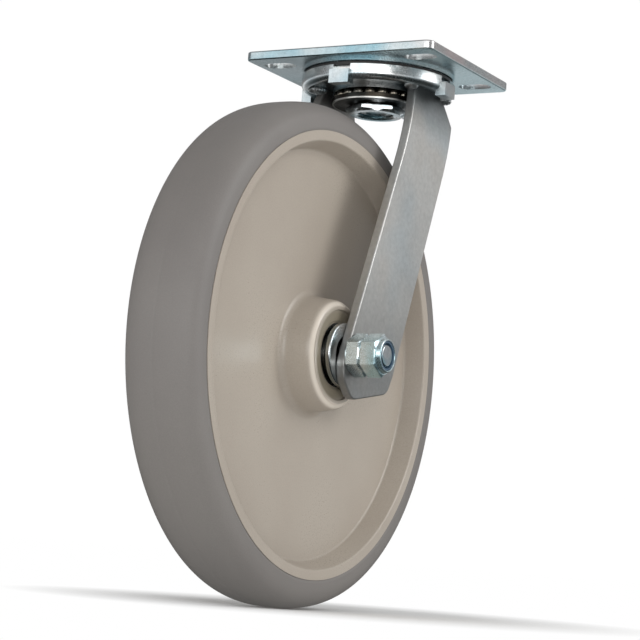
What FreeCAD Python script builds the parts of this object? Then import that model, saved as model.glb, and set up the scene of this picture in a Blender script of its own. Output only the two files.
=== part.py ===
"""Swivel plate caster with a large gate wheel: every piece is a solid of its own.

Frame: the origin is the centre of the plate's top face, on the swivel axis. Z points up, X runs
along the axle towards the nut, and the wheel trails towards -Y. Lengths are millimetres.
"""
import FreeCAD
import Part
import math
import os
import re
import Sketcher
from FreeCAD import Placement, Rotation, Vector

doc = FreeCAD.newDocument("gate_wheel")

# ---------------------------------------------------------------- driving sizes
SIZES = (
    ("headroom", 38.1, "plate's top face to the top of the tyre"),
    ("swivel_trail", 68.25, "swivel axis to axle, level"),
    ("running_fit", 0.05, "radial clearance of a turning fit"),
    ("sliding_fit", 0.1, "radial clearance of a part slipped into place"),
    ("plate_thick", 4.7625, "plate"),
    ("plate_corner", 4.0, "plate corner radius"),
    ("plate_edge_round", 0.8, "rolled edge of the plate"),
    ("slot_spacing", 84.15, "mounting slots, centres along the axle"),
    ("slot_boss_gap", 2.107, "slot's nearest corner to the race boss"),
    ("slot_end_margin", 13.425, "slot centre to the plate's end"),
    ("slot_side_margin", 15.15, "slot centre to the plate's side"),
    ("slot_width", 10.3, "mounting slot, for a 3/8 in bolt"),
    ("slot_length", 18.25, "mounting slot, overall"),
    ("boss_height", 1.2, "pressed race boss under the plate"),
    ("swivel_gap", 1.9, "race boss to yoke base"),
    ("skirt_room", 12.0, "leg's outer face at its top to the outside of the skirt"),
    ("cup_height", 7.6, "yoke base skirt"),
    ("cup_wall", 3.6, "yoke base skirt"),
    ("web_below_balls", 1.9, "yoke base web under the main race"),
    ("lower_land", 3.6, "lower ball circle to the outside of the hub"),
    ("lower_ball_sink", 0.27, "hub face down to the lower ball centres, in ball diameters"),
    ("hub_step", 2.6, "hub below the yoke base's web"),
    ("cup_round", 3.2, "rounded lower edge of the skirt"),
    ("notch_width", 10.2, "lock notch in the rim"),
    ("notch_depth", 3.4, "lock notch in the rim"),
    ("lug_width", 11.6, "lock lug below each notch"),
    ("lug_drop", 7.2, "lock lug, height"),
    ("lug_thick", 2.6, "lock lug, outwards from the skirt"),
    ("main_ball", 9.525, "main bearing ball diameter"),
    ("race_land", 5.5, "main balls to the rim"),
    ("lower_ball", 6.35, "lower bearing ball diameter"),
    ("cone_wall", 7.6, "king pin's seat to the lower balls"),
    ("cone_neck", 0.36, "lower ball circle to the cone's neck, in ball diameters"),
    ("ball_play", 0.02, "least gap between neighbouring balls"),
    ("pin_diameter", 19.05, "king pin"),
    ("pin_head_lip", 4.475, "king pin head, beyond the pin"),
    ("pin_head_thick", 3.0, "king pin head"),
    ("pin_seat_share", 1.1, "depth of the head's seat, in head thicknesses"),
    ("pin_top_share", 0.1, "head below the plate's face, in head thicknesses"),
    ("pin_recess", 1.4, "king pin end above the nut's lower face"),
    ("ball_cover", 0.2, "cone face below the ball centres, in ball diameters"),
    ("cone_bottom", 1.0, "cone flange left below the balls"),
    ("king_nut_ratio", 1.5, "king nut across flats, in pin diameters"),
    ("king_nut_thick", 4.6, "king nut"),
    ("seal_inset", 3.45, "raceway seal inner edge behind the rim"),
    ("seal_setback", 1.0, "seal edge behind the rim"),
    ("leg_hub_gap", 0.5, "leg's top to the lower race hub"),
    ("leg_set_in", 4.85, "how far the bend carries the leg inwards"),
    ("leg_thick", 4.7625, "leg plate"),
    ("leg_bend_start", 58.0, "depth below the plate's top where the bend starts"),
    ("leg_front_share", 0.636, "front edge's reach at the top, against the rear's"),
    ("leg_skirt_gap", 2.5, "leg's top rear corner to the inside of the skirt"),
    ("leg_shoulder_reach", 9.5, "rear shoulder behind the top rear corner"),
    ("leg_shoulder_drop", 28.5, "rear shoulder depth below the plate's top"),
    ("leg_front_margin", 9.2, "front edge ahead of the axle centre"),
    ("leg_front_drop", 4.0, "front edge's end under the axle centre"),
    ("leg_toe_set", 1.6, "front corner behind the front edge's end"),
    ("leg_toe_drop", 13.0, "front corner under the axle centre"),
    ("leg_bottom_set", 2.0, "lowest corner behind the axle centre"),
    ("leg_heel_set", 5.5, "rear lower corner ahead of the rear edge"),
    ("leg_heel_share", 0.7, "rear lower corner's drop, against the lowest point's"),
    ("leg_back_set", 0.5, "rear edge's end ahead of the rear edge"),
    ("leg_back_share", 0.28, "rear edge's end's drop, against the lowest point's"),
    ("leg_rear_margin", 44.3, "rear edge behind the axle centre"),
    ("leg_bottom_margin", 22.3, "lowest point under the axle centre"),
    ("leg_corner_radius", 9.0, "rounding of the lower corners"),
    ("leg_edge_round", 0.9, "rolled edge of the leg plate"),
    ("wheel_diameter", 254.0, "wheel"),
    ("tread_width", 40.1, "tyre and rim"),
    ("tread_shoulder", 11.5, "tyre shoulder radius"),
    ("tread_thick", 18.5, "tyre over the rim"),
    ("rim_lip", 5.2, "rim lip, radial"),
    ("rim_draft", 3.6, "slope of the rim's inner wall, radial"),
    ("web_width", 18.4, "web of the core"),
    ("rib_height", 3.6, "rib that keys the tyre to the core"),
    ("rib_width", 14.0, "rib that keys the tyre to the core"),
    ("end_play", 0.45, "thrust washer to hub"),
    ("hub_wall", 11.1, "hub boss outside the bearing cup"),
    ("hub_flare", 2.6, "foot of the hub boss beyond its face"),
    ("hub_root_round", 4.0, "fillet at the foot of the hub boss"),
    ("counterbore_gap", 0.6, "hub counterbore round the washer"),
    ("counterbore_depth", 1.6, "hub counterbore"),
    ("bearing_wall", 1.5, "bearing cup wall"),
    ("roller_diameter", 4.76, "roller"),
    ("cage_setback", 0.9, "cage end inside the bearing cup's end"),
    ("cage_gap", 0.2, "cage bar to roller"),
    ("cage_ring", 2.0, "cage end ring, along the axle"),
    ("cage_bar", 0.9, "cage bar thickness"),
    ("cage_depth", 1.7, "cage ring and bar, radial"),
    ("sleeve_diameter", 19.05, "spanner bushing"),
    ("axle_diameter", 12.7, "axle bolt"),
    ("washer_land", 6.475, "thrust washer beyond the sleeve"),
    ("washer_thick", 2.8, "thrust washer"),
    ("hex_flats", 19.05, "axle bolt head and nuts across flats"),
    ("hex_chamfer", 0.475, "where a nut's chamfer starts, in flats"),
    ("hex_clear", 0.7, "outside of a nut's chamfer cut, in flats"),
    ("bolt_setback", 0.5, "bolt's end behind the lock nut's"),
    ("bolt_chamfer", 1.0, "chamfer on the bolt's end"),
    ("head_thick", 7.9, "axle bolt head"),
    ("jam_nut_thick", 8.0, "first axle nut"),
    ("lock_nut_hex", 9.0, "lock nut, hexagon"),
    ("lock_nut_collar", 2.4, "lock nut, collar"),
    ("collar_radius", 8.7, "lock nut, collar"),
    ("collar_mouth", 7.3, "lock nut, mouth of the rolled collar"),
    ("collar_round", 0.9, "lock nut, rounded end of the collar"),
    ("insert_thick", 2.0, "lock nut, nylon ring"),
    ("insert_setback", 0.4, "nylon ring behind the collar's end"),
    ("weld_length", 7.6, "weld bead, half its length"),
    ("weld_width", 4.2, "weld bead, half its width"),
    ("weld_height", 2.8, "weld bead, half its height"),
    ("weld_rise", 1.0, "weld bead's centre above the skirt's rim"),
    ("weld_inset", 6.5, "weld bead's inner end behind the leg's outer face"),
    ("weld_front_set", 1.5, "front bead's inner end ahead of the leg's top"),
    ("weld_rear_set", 1.0, "rear bead's inner end behind the leg's top"),
    ("weld_front_reach", 0.62, "front bead's centre from its inner end, in half lengths"),
    ("weld_rear_reach", 0.5, "rear bead's centre from its inner end, in half lengths"),
    ("weld_front_turn", -56.0, "front bead's direction, degrees from the axle"),
    ("weld_rear_turn", 35.0, "rear bead's direction, degrees from the axle"),
    ("fitting_turn", 115.0, "grease fitting round the skirt, degrees from the axle"),
    ("fitting_radius", 3.2, "grease fitting"),
    ("fitting_length", 7.0, "grease fitting outside the skirt"),
    ("cut_over", 1.0, "how far a cut or a join runs past the face it starts from"),
)
NAMES = {alias for alias, _value, _note in SIZES}
sheet = doc.addObject("Spreadsheet::Sheet", "sizes")
for row, (alias, value, note) in enumerate(SIZES, start=1):
    sheet.set(f"A{row}", note)
    sheet.set(f"B{row}", str(value))
    sheet.setAlias(f"B{row}", alias)
doc.recompute()

# ---------------------------------------------------------------- derived places, as expressions
AXLE_DROP = "(headroom + wheel_diameter / 2)"
LOWER_CIRCLE = "(pin_diameter / 2 + sliding_fit + cone_wall + lower_ball / 2)"
CUP_HUB = f"({LOWER_CIRCLE} + lower_land)"
LEG_TOP_OUTER = f"({CUP_HUB} + leg_hub_gap + leg_thick)"
CUP_RADIUS = f"({LEG_TOP_OUTER} + skirt_room)"
SLOT_INNER = "(slot_spacing / 2 - slot_length / 2)"
SLOT_CLEAR = f"({CUP_RADIUS} + slot_boss_gap)"
SLOT_SIDE = f"(sqrt({SLOT_CLEAR} * {SLOT_CLEAR} - {SLOT_INNER} * {SLOT_INNER}) + slot_width / 2)"
MAIN_CIRCLE = f"({CUP_RADIUS} - race_land - main_ball / 2)"
BOSS_FACE = "(-plate_thick - boss_height)"
CUP_TOP = f"({BOSS_FACE} - swivel_gap)"
CUP_RIM = f"({CUP_TOP} - cup_height)"
MAIN_LEVEL = f"({BOSS_FACE} - swivel_gap / 2)"
WEB_FACE = f"({MAIN_LEVEL} - main_ball / 2 - web_below_balls)"
HUB_EDGE = f"({WEB_FACE} - hub_step)"
LOWER_LEVEL = f"({HUB_EDGE} - lower_ball * lower_ball_sink)"
CONE_FACE = f"({LOWER_LEVEL} - lower_ball / 2 - cone_bottom)"
NUT_FACE = f"({CONE_FACE} - king_nut_thick)"
PIN_TOP = "(-pin_head_thick * pin_top_share)"
PIN_SEAT = "(-pin_head_thick * pin_seat_share)"
PIN_HEAD = "(pin_diameter / 2 + pin_head_lip)"
KING_FLATS = "(pin_diameter * king_nut_ratio)"
LEG_INNER = f"({CUP_HUB} + leg_hub_gap + leg_set_in)"
LEG_OUTER = f"({LEG_INNER} + leg_thick)"
BEND_RUN = f"(leg_bend_start + {WEB_FACE})"
BEND_INNER = f"(({BEND_RUN} * {BEND_RUN} + leg_set_in * leg_set_in) / (2 * leg_set_in))"
SKIRT_REACH = f"({CUP_RADIUS} - cup_wall - leg_skirt_gap)"
LEG_TOP_REAR = f"sqrt({SKIRT_REACH} * {SKIRT_REACH} - {LEG_TOP_OUTER} * {LEG_TOP_OUTER})"
LEG_TOP_FRONT = f"(-leg_front_share * {LEG_TOP_REAR})"
CUP_BORE = "(sleeve_diameter / 2 + roller_diameter + 2 * running_fit)"
ROLLER_CIRCLE = "(sleeve_diameter / 2 + roller_diameter / 2 + running_fit)"
BEARING_OUTER = f"({CUP_BORE} + bearing_wall)"
HUB_HALF = f"({LEG_INNER} - washer_thick - end_play)"
BEARING_HALF = f"({HUB_HALF} - counterbore_depth)"
ROLLER_HALF = f"({BEARING_HALF} - cage_setback - cage_ring - sliding_fit)"
HUB_RADIUS = f"({BEARING_OUTER} + hub_wall)"
HUB_ROOT = f"({HUB_RADIUS} + hub_flare)"
WASHER_RADIUS = "(sleeve_diameter / 2 + washer_land)"
COUNTERBORE = f"({WASHER_RADIUS} + counterbore_gap)"
RIM_RADIUS = "(wheel_diameter / 2 - tread_thick)"
JAM_END = f"({LEG_OUTER} + jam_nut_thick)"
COLLAR_FOOT = f"({JAM_END} + lock_nut_hex)"
LOCK_END = f"({COLLAR_FOOT} + lock_nut_collar)"
INSERT_END = f"({LOCK_END} - insert_setback)"


def bound(text):
    """An expression in which each size's name points at its cell in the sheet."""
    def point(word):
        return f"sizes.{word[0]}" if word[0] in NAMES else word[0]
    return re.sub(r"[a-z][a-z0-9_]*", point, text)


def number(text):
    """The value of an expression, as a plain number."""
    result = sheet.evalExpression(bound(text))
    return float(getattr(result, "Value", result))


def bind(item, **properties):
    """Tie properties of an object to expressions; a double underscore stands for a dot."""
    for name, text in properties.items():
        item.setExpression(name.replace("__", "."), bound(text))


# ---------------------------------------------------------------- sketch and feature helpers
def polygon(sketch, points):
    """A closed outline whose every corner is tied to a pair of expressions."""
    places = [Vector(number(x), number(y), 0) for x, y in points]
    first = sketch.GeometryCount
    count = len(points)
    for index in range(count):
        sketch.addGeometry(Part.LineSegment(places[index], places[(index + 1) % count]), False)
    for index in range(count):
        follower = first + (index + 1) % count
        sketch.addConstraint(Sketcher.Constraint("Coincident", first + index, 2, follower, 1))
    for index, (x, y) in enumerate(points):
        for kind, text, place in (("DistanceX", x, places[index].x), ("DistanceY", y, places[index].y)):
            made = sketch.addConstraint(Sketcher.Constraint(kind, -1, 1, first + index, 1, place))
            sketch.setExpression(f"Constraints[{made}]", bound(text))


def circle(sketch, x, y, radius):
    """A circle whose centre and radius are tied to expressions."""
    centre = Vector(number(x), number(y), 0)
    made = sketch.addGeometry(Part.Circle(centre, Vector(0, 0, 1), number(radius)), False)
    for kind, text, place in (("DistanceX", x, centre.x), ("DistanceY", y, centre.y)):
        tie = sketch.addConstraint(Sketcher.Constraint(kind, -1, 1, made, 3, place))
        sketch.setExpression(f"Constraints[{tie}]", bound(text))
    tie = sketch.addConstraint(Sketcher.Constraint("Radius", made, number(radius)))
    sketch.setExpression(f"Constraints[{tie}]", bound(radius))


def new_body(name, on_axle=False):
    """An empty body; one on the axle has its own Z along the axle, towards the nut."""
    body = doc.addObject("PartDesign::Body", name)
    body.Label = name
    if on_axle:
        body.Placement = axle_placement()
        bind(body, Placement__Base__y="-swivel_trail", Placement__Base__z=f"-{AXLE_DROP}")
    return body


def axle_placement():
    """The wheel's own frame: its Z is the axle, its X points down."""
    centre = Vector(0, -number("swivel_trail"), -number(AXLE_DROP))
    return Placement(centre, Rotation(Vector(0, 1, 0), 90))


def sketch_in(body, role, level=None):
    """A sketch on one of the body's own origin planes, raised to a level along its normal."""
    sketch = body.newObject("Sketcher::SketchObject", f"{body.Name}_sketch")
    plane = next(item for item in body.Origin.OriginFeatures if item.Role == role)
    sketch.AttachmentSupport = (plane, [""])
    sketch.MapMode = "FlatFace"
    if level is not None:
        sketch.AttachmentOffset = Placement(Vector(0, 0, number(level)), Rotation())
        bind(sketch, AttachmentOffset__Base__z=level)
    return sketch


def turned(body, points, cut=False):
    """A full revolution of an outline (radius, height) about the body's Z, added or cut away."""
    sketch = sketch_in(body, "XZ_Plane")
    polygon(sketch, points)
    return revolve(body, sketch, cut)


def revolve(body, sketch, cut):
    """Revolve a sketch about the body's Z, as material or as a groove."""
    kind = "PartDesign::Groove" if cut else "PartDesign::Revolution"
    feature = body.newObject(kind, f"{body.Name}_turned")
    feature.Profile = sketch
    feature.ReferenceAxis = (sketch, ["V_Axis"])
    feature.Angle = 360
    sketch.Visibility = False
    return feature


def ball_race(body, radius, level, ball):
    """A round groove for balls, a running fit deeper than the ball itself."""
    sketch = sketch_in(body, "XZ_Plane")
    circle(sketch, radius, level, f"{ball} / 2 + running_fit")
    return revolve(body, sketch, True)


def extruded(body, points, bottom, height, cut=False):
    """A pad, or a pocket, of an XY outline that runs upwards from its bottom level."""
    sketch = sketch_in(body, "XY_Plane", bottom)
    polygon(sketch, points)
    return extrude(body, sketch, height, cut)


def extrude(body, sketch, height, cut):
    """Pad or pocket a sketch along its normal."""
    feature = body.newObject("PartDesign::Pocket" if cut else "PartDesign::Pad", f"{body.Name}_step")
    feature.Profile = sketch
    if cut:
        feature.Reversed = True
    bind(feature, Length=height)
    sketch.Visibility = False
    return feature


def around_z(body, feature, count):
    """Repeat a feature evenly about the body's Z."""
    pattern = body.newObject("PartDesign::PolarPattern", f"{body.Name}_pattern")
    pattern.Originals = [feature]
    axis = next(item for item in body.Origin.OriginFeatures if item.Role == "Z_Axis")
    pattern.Axis = (axis, [""])
    pattern.Angle = 360
    pattern.Occurrences = count
    body.Tip = pattern
    return pattern


def hexagon(flats):
    """Corners of a hexagon with one corner on the outline's own X axis and a given width."""
    corner = f"{flats} / 2 / cos(30)"
    return [(f"{corner} * cos({60 * k})", f"{corner} * sin({60 * k})") for k in range(6)]


def chamfer_hex(body, flats, face, inwards):
    """The 30 degree chamfer that rounds a hexagon's corners at a face; inwards is +1 or -1."""
    outer = f"{flats} * hex_clear"
    start = f"{flats} * hex_chamfer"
    drop = f"({outer} - {start}) * tan(30)"
    corners = [(start, face), (outer, face), (outer, f"{face} + {inwards} * {drop}")]
    return turned(body, corners, cut=True)


def plug(body, radius, bottom, top):
    """Cut away a round hole about the body's Z between two levels."""
    turned(body, [("0", bottom), (radius, bottom), (radius, top), ("0", top)], cut=True)


def ring(body, inner, outer, bottom, top):
    """A plain ring between two radii and two levels."""
    return turned(body, [(inner, bottom), (outer, bottom), (outer, top), (inner, top)])


def edges_near(shape, chosen):
    """Names of a shape's edges that a test picks out."""
    return [f"Edge{i}" for i, edge in enumerate(shape.Edges, start=1) if chosen(edge)]


def round_edges(body, edges, radius):
    """Fillet some edges of a body's last feature."""
    last = body.Tip
    fillet = body.newObject("PartDesign::Fillet", f"{body.Name}_rounded")
    fillet.Base = (last, edges)
    bind(fillet, Radius=radius)


# ---------------------------------------------------------------- plate, king pin and races
def make_top_plate():
    """Mounting plate with four slots, a pressed race boss and the seat of the king pin's head."""
    body = new_body("top_plate")
    half_x, half_y = "(slot_spacing / 2 + slot_end_margin)", f"({SLOT_SIDE} + slot_side_margin)"
    outline = [(f"-{half_x}", f"-{half_y}"), (half_x, f"-{half_y}"), (half_x, half_y),
               (f"-{half_x}", half_y)]
    extruded(body, outline, "-plate_thick", "plate_thick")
    doc.recompute()
    corners = edges_near(body.Shape, lambda edge: abs(edge.tangentAt(edge.FirstParameter).z) > 0.99)
    round_edges(body, corners, "plate_corner")
    rims = edges_near(body.Shape, lambda edge: abs(edge.tangentAt(edge.FirstParameter).z) < 0.01)
    round_edges(body, rims, "plate_edge_round")
    ring(body, "pin_diameter / 2", CUP_RADIUS, BOSS_FACE, "-plate_thick / 2")
    for side_x in (-1, 1):
        for side_y in (-1, 1):
            make_slot(body, f"{side_x} * slot_spacing / 2", f"{side_y} * {SLOT_SIDE}")
    seat = f"{PIN_HEAD} + sliding_fit"
    plug(body, seat, PIN_SEAT, "cut_over")
    plug(body, "pin_diameter / 2 + sliding_fit", f"{BOSS_FACE} - cut_over", "0")
    ball_race(body, MAIN_CIRCLE, MAIN_LEVEL, "main_ball")
    return body


def make_slot(body, x, y):
    """One straight slot through the plate, round at both ends."""
    reach = "(slot_length - slot_width) / 2"
    wide = "slot_width / 2"
    sketch = sketch_in(body, "XY_Plane", "cut_over")
    polygon(sketch, [(f"{x} - {reach}", f"{y} - {wide}"), (f"{x} + {reach}", f"{y} - {wide}"),
                     (f"{x} + {reach}", f"{y} + {wide}"), (f"{x} - {reach}", f"{y} + {wide}")])
    feature = body.newObject("PartDesign::Pocket", "slot")
    feature.Profile = sketch
    bind(feature, Length="plate_thick + 2 * cut_over")
    for end in ("-", "+"):
        sketch = sketch_in(body, "XY_Plane", "cut_over")
        circle(sketch, f"{x} {end} {reach}", y, wide)
        feature = body.newObject("PartDesign::Pocket", "slot_end")
        feature.Profile = sketch
        bind(feature, Length="plate_thick + 2 * cut_over")


def make_king_pin():
    """Headed pin that hangs the yoke base under the plate; the head lies flush in the plate."""
    body = new_body("king_pin")
    end = f"({NUT_FACE} + pin_recess)"
    turned(body, [("0", end), ("pin_diameter / 2", end), ("pin_diameter / 2", PIN_SEAT),
                  (PIN_HEAD, PIN_SEAT), (PIN_HEAD, PIN_TOP), ("0", PIN_TOP)])
    return body


def make_lower_race_cone():
    """Hardened inner race on the king pin, under the lower balls."""
    body = new_body("lower_race_cone")
    bore = "pin_diameter / 2 + sliding_fit"
    neck = f"{LOWER_CIRCLE} - lower_ball * cone_neck"
    face = f"({LOWER_LEVEL} - lower_ball * ball_cover)"
    turned(body, [(bore, CONE_FACE), (CUP_HUB, CONE_FACE), (CUP_HUB, face), (neck, face),
                  (neck, f"{LOWER_LEVEL} + lower_ball / 2"), (bore, f"{LOWER_LEVEL} + lower_ball / 2")])
    ball_race(body, LOWER_CIRCLE, LOWER_LEVEL, "lower_ball")
    return body


def make_king_nut():
    """Thin hexagon nut on the king pin's thread."""
    body = new_body("king_nut")
    extruded(body, hexagon(KING_FLATS), NUT_FACE, "king_nut_thick")
    chamfer_hex(body, KING_FLATS, NUT_FACE, 1)
    plug(body, "pin_diameter / 2", f"{NUT_FACE} - cut_over", f"{CONE_FACE} + cut_over")
    return body


def most_round(circle_radius, pitch):
    """How many pieces a pitch wide fit side by side round a circle."""
    return math.floor(math.pi / math.asin(number(pitch) / number(circle_radius) / 2))


def make_balls(name, ball, circle_radius, level):
    """A full ring of loose balls: one solid each."""
    balls = []
    count = most_round(circle_radius, f"{ball} + ball_play")
    for index in range(count):
        item = doc.addObject("Part::Sphere", f"{name}_{index}")
        turn = f"{index} * 360 / {count}"
        bind(item, Radius=f"{ball} / 2", Placement__Base__x=f"{circle_radius} * cos({turn})",
             Placement__Base__y=f"{circle_radius} * sin({turn})", Placement__Base__z=level)
        balls.append(item)
    group = doc.addObject("Part::Compound", name)
    group.Label = name
    group.Links = balls
    return group


# ---------------------------------------------------------------- yoke base and legs
def make_yoke_base():
    """Stamped cup with the main race on top, a lower race hub, and four lock notches with lugs."""
    body = new_body("yoke_base")
    inner = f"({CUP_RADIUS} - cup_wall)"
    bore = f"{LOWER_CIRCLE} - lower_ball / 4"
    turned(body, [(bore, HUB_EDGE), (CUP_HUB, HUB_EDGE), (CUP_HUB, WEB_FACE), (inner, WEB_FACE),
                  (inner, CUP_RIM), (CUP_RADIUS, CUP_RIM), (CUP_RADIUS, CUP_TOP), (bore, CUP_TOP)])
    doc.recompute()
    rim = number(CUP_RIM)
    lower_rim = edges_near(body.Shape, lambda edge: abs(edge.BoundBox.ZMax - rim) < 0.01
                           and abs(edge.Curve.Radius - number(CUP_RADIUS)) < 0.01)
    round_edges(body, lower_rim, "cup_round")
    lug_top = f"{CUP_TOP} - notch_depth"
    outer = f"{CUP_RADIUS} + lug_thick"
    half = "lug_width / 2"
    root = f"-({inner}) - cup_wall / 8"
    lug = extruded(body, [(f"-{half}", f"-({outer})"), (half, f"-({outer})"), (half, root),
                          (f"-{half}", root)], f"{lug_top} - lug_drop", "lug_drop")
    around_z(body, lug, 4)
    half = "notch_width / 2"
    front = f"-({outer}) - cut_over"
    notch = extruded(body, [(f"-{half}", front), (half, front),
                            (half, f"-({inner})"), (f"-{half}", f"-({inner})")],
                     lug_top, "notch_depth + cut_over", cut=True)
    around_z(body, notch, 4)
    ball_race(body, MAIN_CIRCLE, MAIN_LEVEL, "main_ball")
    ball_race(body, LOWER_CIRCLE, LOWER_LEVEL, "lower_ball")
    return body


def make_leg_outline():
    """Side outline of a leg, seen along the axle: it leans back from the yoke base to the axle."""
    sketch = doc.addObject("Sketcher::SketchObject", "leg_outline")
    sketch.Placement = Placement(Vector(0, 0, 0), Rotation(0.5, 0.5, 0.5, 0.5))
    axle_y = "(-swivel_trail)"
    axle_z = f"(-{AXLE_DROP})"
    polygon(sketch, [
        (LEG_TOP_FRONT, WEB_FACE),
        (f"{axle_y} - leg_front_margin", f"{axle_z} - leg_front_drop"),
        (f"{axle_y} - leg_front_margin + leg_toe_set", f"{axle_z} - leg_toe_drop"),
        (f"{axle_y} + leg_bottom_set", f"{axle_z} - leg_bottom_margin"),
        (f"{axle_y} + leg_rear_margin - leg_heel_set", f"{axle_z} - leg_bottom_margin * leg_heel_share"),
        (f"{axle_y} + leg_rear_margin - leg_back_set", f"{axle_z} - leg_bottom_margin * leg_back_share"),
        (f"{LEG_TOP_REAR} + leg_shoulder_reach", "-leg_shoulder_drop"),
        (LEG_TOP_REAR, WEB_FACE),
    ])
    return sketch


def make_leg_nut_side():
    """Flat bar leg: its top bends inwards under the cup, its foot carries the axle bolt."""
    outline = make_leg_outline()
    side = doc.addObject("Part::Extrusion", "leg_side")
    side.Base = outline
    side.DirMode = "Normal"
    side.Solid = True
    bind(side, LengthFwd=f"{LEG_OUTER} + leg_thick")
    bend_outer = f"({BEND_INNER} + leg_thick)"
    centre_x = f"{LEG_OUTER} - {bend_outer}"
    rolls = []
    for name, radius in (("leg_bend_outer", bend_outer), ("leg_bend_inner", BEND_INNER)):
        roll = doc.addObject("Part::Cylinder", name)
        roll.Placement = Placement(Vector(0, 0, 0), Rotation(Vector(1, 0, 0), 90))
        bind(roll, Radius=radius, Height="swivel_trail * 6", Placement__Base__x=centre_x,
             Placement__Base__y="swivel_trail * 3", Placement__Base__z="-leg_bend_start")
        rolls.append(roll)
    bend = doc.addObject("Part::Cut", "leg_bend")
    bend.Base, bend.Tool = rolls
    upper = make_box("leg_upper", "0", "-swivel_trail * 3", "-leg_bend_start", LEG_OUTER,
                     "swivel_trail * 6", "leg_bend_start")
    curved = doc.addObject("Part::Common", "leg_curved")
    curved.Base, curved.Tool = bend, upper
    straight = make_box("leg_straight", LEG_INNER, "-swivel_trail * 3", f"-{AXLE_DROP} * 2",
                        "leg_thick", "swivel_trail * 6", f"{AXLE_DROP} * 2 - leg_bend_start")
    strip = doc.addObject("Part::Fuse", "leg_strip")
    strip.Base, strip.Tool = straight, curved
    strip.Refine = True
    blank = doc.addObject("Part::Common", "leg_blank")
    blank.Base, blank.Tool = strip, side
    hole = doc.addObject("Part::Cylinder", "leg_hole")
    hole.Placement = axle_placement()
    bind(hole, Radius="axle_diameter / 2 + sliding_fit", Height=f"{LEG_OUTER} + cut_over",
         Placement__Base__y="-swivel_trail", Placement__Base__z=f"-{AXLE_DROP}")
    drilled = doc.addObject("Part::Cut", "leg_drilled")
    drilled.Base, drilled.Tool = blank, hole
    return drilled


def make_box(name, x, y, z, length, width, height):
    """A box from its lowest corner and its three sides."""
    box = doc.addObject("Part::Box", name)
    bind(box, Length=length, Width=width, Height=height,
         Placement__Base__x=x, Placement__Base__y=y, Placement__Base__z=z)
    return box


def round_leg(drilled):
    """Round the leg's lower corners, then roll the long edges of both faces."""
    doc.recompute()
    limit = -number(f"{AXLE_DROP} + leg_front_drop / 2")
    lower = [i for i, edge in enumerate(drilled.Shape.Edges, start=1)
             if is_line(edge) and abs(edge.tangentAt(edge.FirstParameter).x) > 0.99
             and edge.CenterOfMass.z < limit]
    rounded = filleted(drilled, lower, "leg_corner_radius", "leg_rounded")
    top = number(f"{WEB_FACE} - leg_edge_round")
    faces = [i for i, edge in enumerate(rounded.Shape.Edges, start=1)
             if abs(edge.tangentAt(edge.FirstParameter).x) < 0.5 and edge.BoundBox.ZMin < top
             and edge.CenterOfMass.z < top and not is_hole(edge)]
    return filleted(rounded, faces, "leg_edge_round", "leg_rolled")


def is_line(edge):
    """True for a straight edge."""
    return edge.Curve.TypeId == "Part::GeomLine"


def is_hole(edge):
    """True for the rim of the axle hole."""
    hole = number("axle_diameter / 2 + sliding_fit")
    return edge.Curve.TypeId == "Part::GeomCircle" and abs(edge.Curve.Radius - hole) < 0.01


def filleted(source, edges, size, name):
    """Fillet numbered edges of an object with one radius from the sheet."""
    rounded = doc.addObject("Part::Fillet", name)
    rounded.Base = source
    radius = number(size)
    rounded.Edges = [(i, radius, radius) for i in edges]
    doc.recompute()
    return rounded


def mirrored(source, name):
    """The same piece on the other side of the wheel."""
    other = doc.addObject("Part::Mirroring", name)
    other.Source = source
    other.Normal = Vector(1, 0, 0)
    other.Base = Vector(0, 0, 0)
    other.Label = name
    return other


def make_weld(name, front, leg, yoke):
    """A bead from a leg's edge out to the cup's rim, cut where the leg and the cup are."""
    turn = "weld_front_turn" if front else "weld_rear_turn"
    edge_x = f"({LEG_OUTER} - weld_inset)"
    edge_y = f"({LEG_TOP_FRONT} - weld_front_set)" if front else f"({LEG_TOP_REAR} + weld_rear_set)"
    reach = "weld_length * weld_front_reach" if front else "weld_length * weld_rear_reach"
    bead = doc.addObject("Part::Ellipsoid", f"{name}_bead")
    bead.Placement = Placement(Vector(0, 0, 0), Rotation(Vector(0, 0, 1), number(turn)))
    bind(bead, Radius1="weld_height", Radius2="weld_length", Radius3="weld_width",
         Placement__Base__x=f"{edge_x} + {reach} * cos({turn})",
         Placement__Base__y=f"{edge_y} + {reach} * sin({turn})",
         Placement__Base__z=f"{CUP_RIM} + weld_rise",
         Placement__Rotation__Angle=f"{turn} * 1 deg")
    depth = "weld_height * 4"
    below = make_box(f"{name}_below", "0", f"-{CUP_RADIUS} * 2", f"{WEB_FACE} - {depth}",
                     f"{CUP_RADIUS} * 2", f"{CUP_RADIUS} * 4", depth)
    lower = doc.addObject("Part::Common", f"{name}_lower")
    lower.Base, lower.Tool = bead, below
    solid = doc.addObject("Part::MultiFuse", f"{name}_room")
    solid.Shapes = [leg, yoke]
    weld = doc.addObject("Part::Cut", name)
    weld.Base, weld.Tool = lower, solid
    return weld


def make_raceway_seal():
    """Rubber ring in the gap between the plate's boss and the yoke base."""
    body = new_body("raceway_seal")
    ring(body, f"{CUP_RADIUS} - seal_inset", f"{CUP_RADIUS} - seal_setback", CUP_TOP,
         f"{BOSS_FACE} - swivel_gap * 0.2")
    return body


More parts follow.
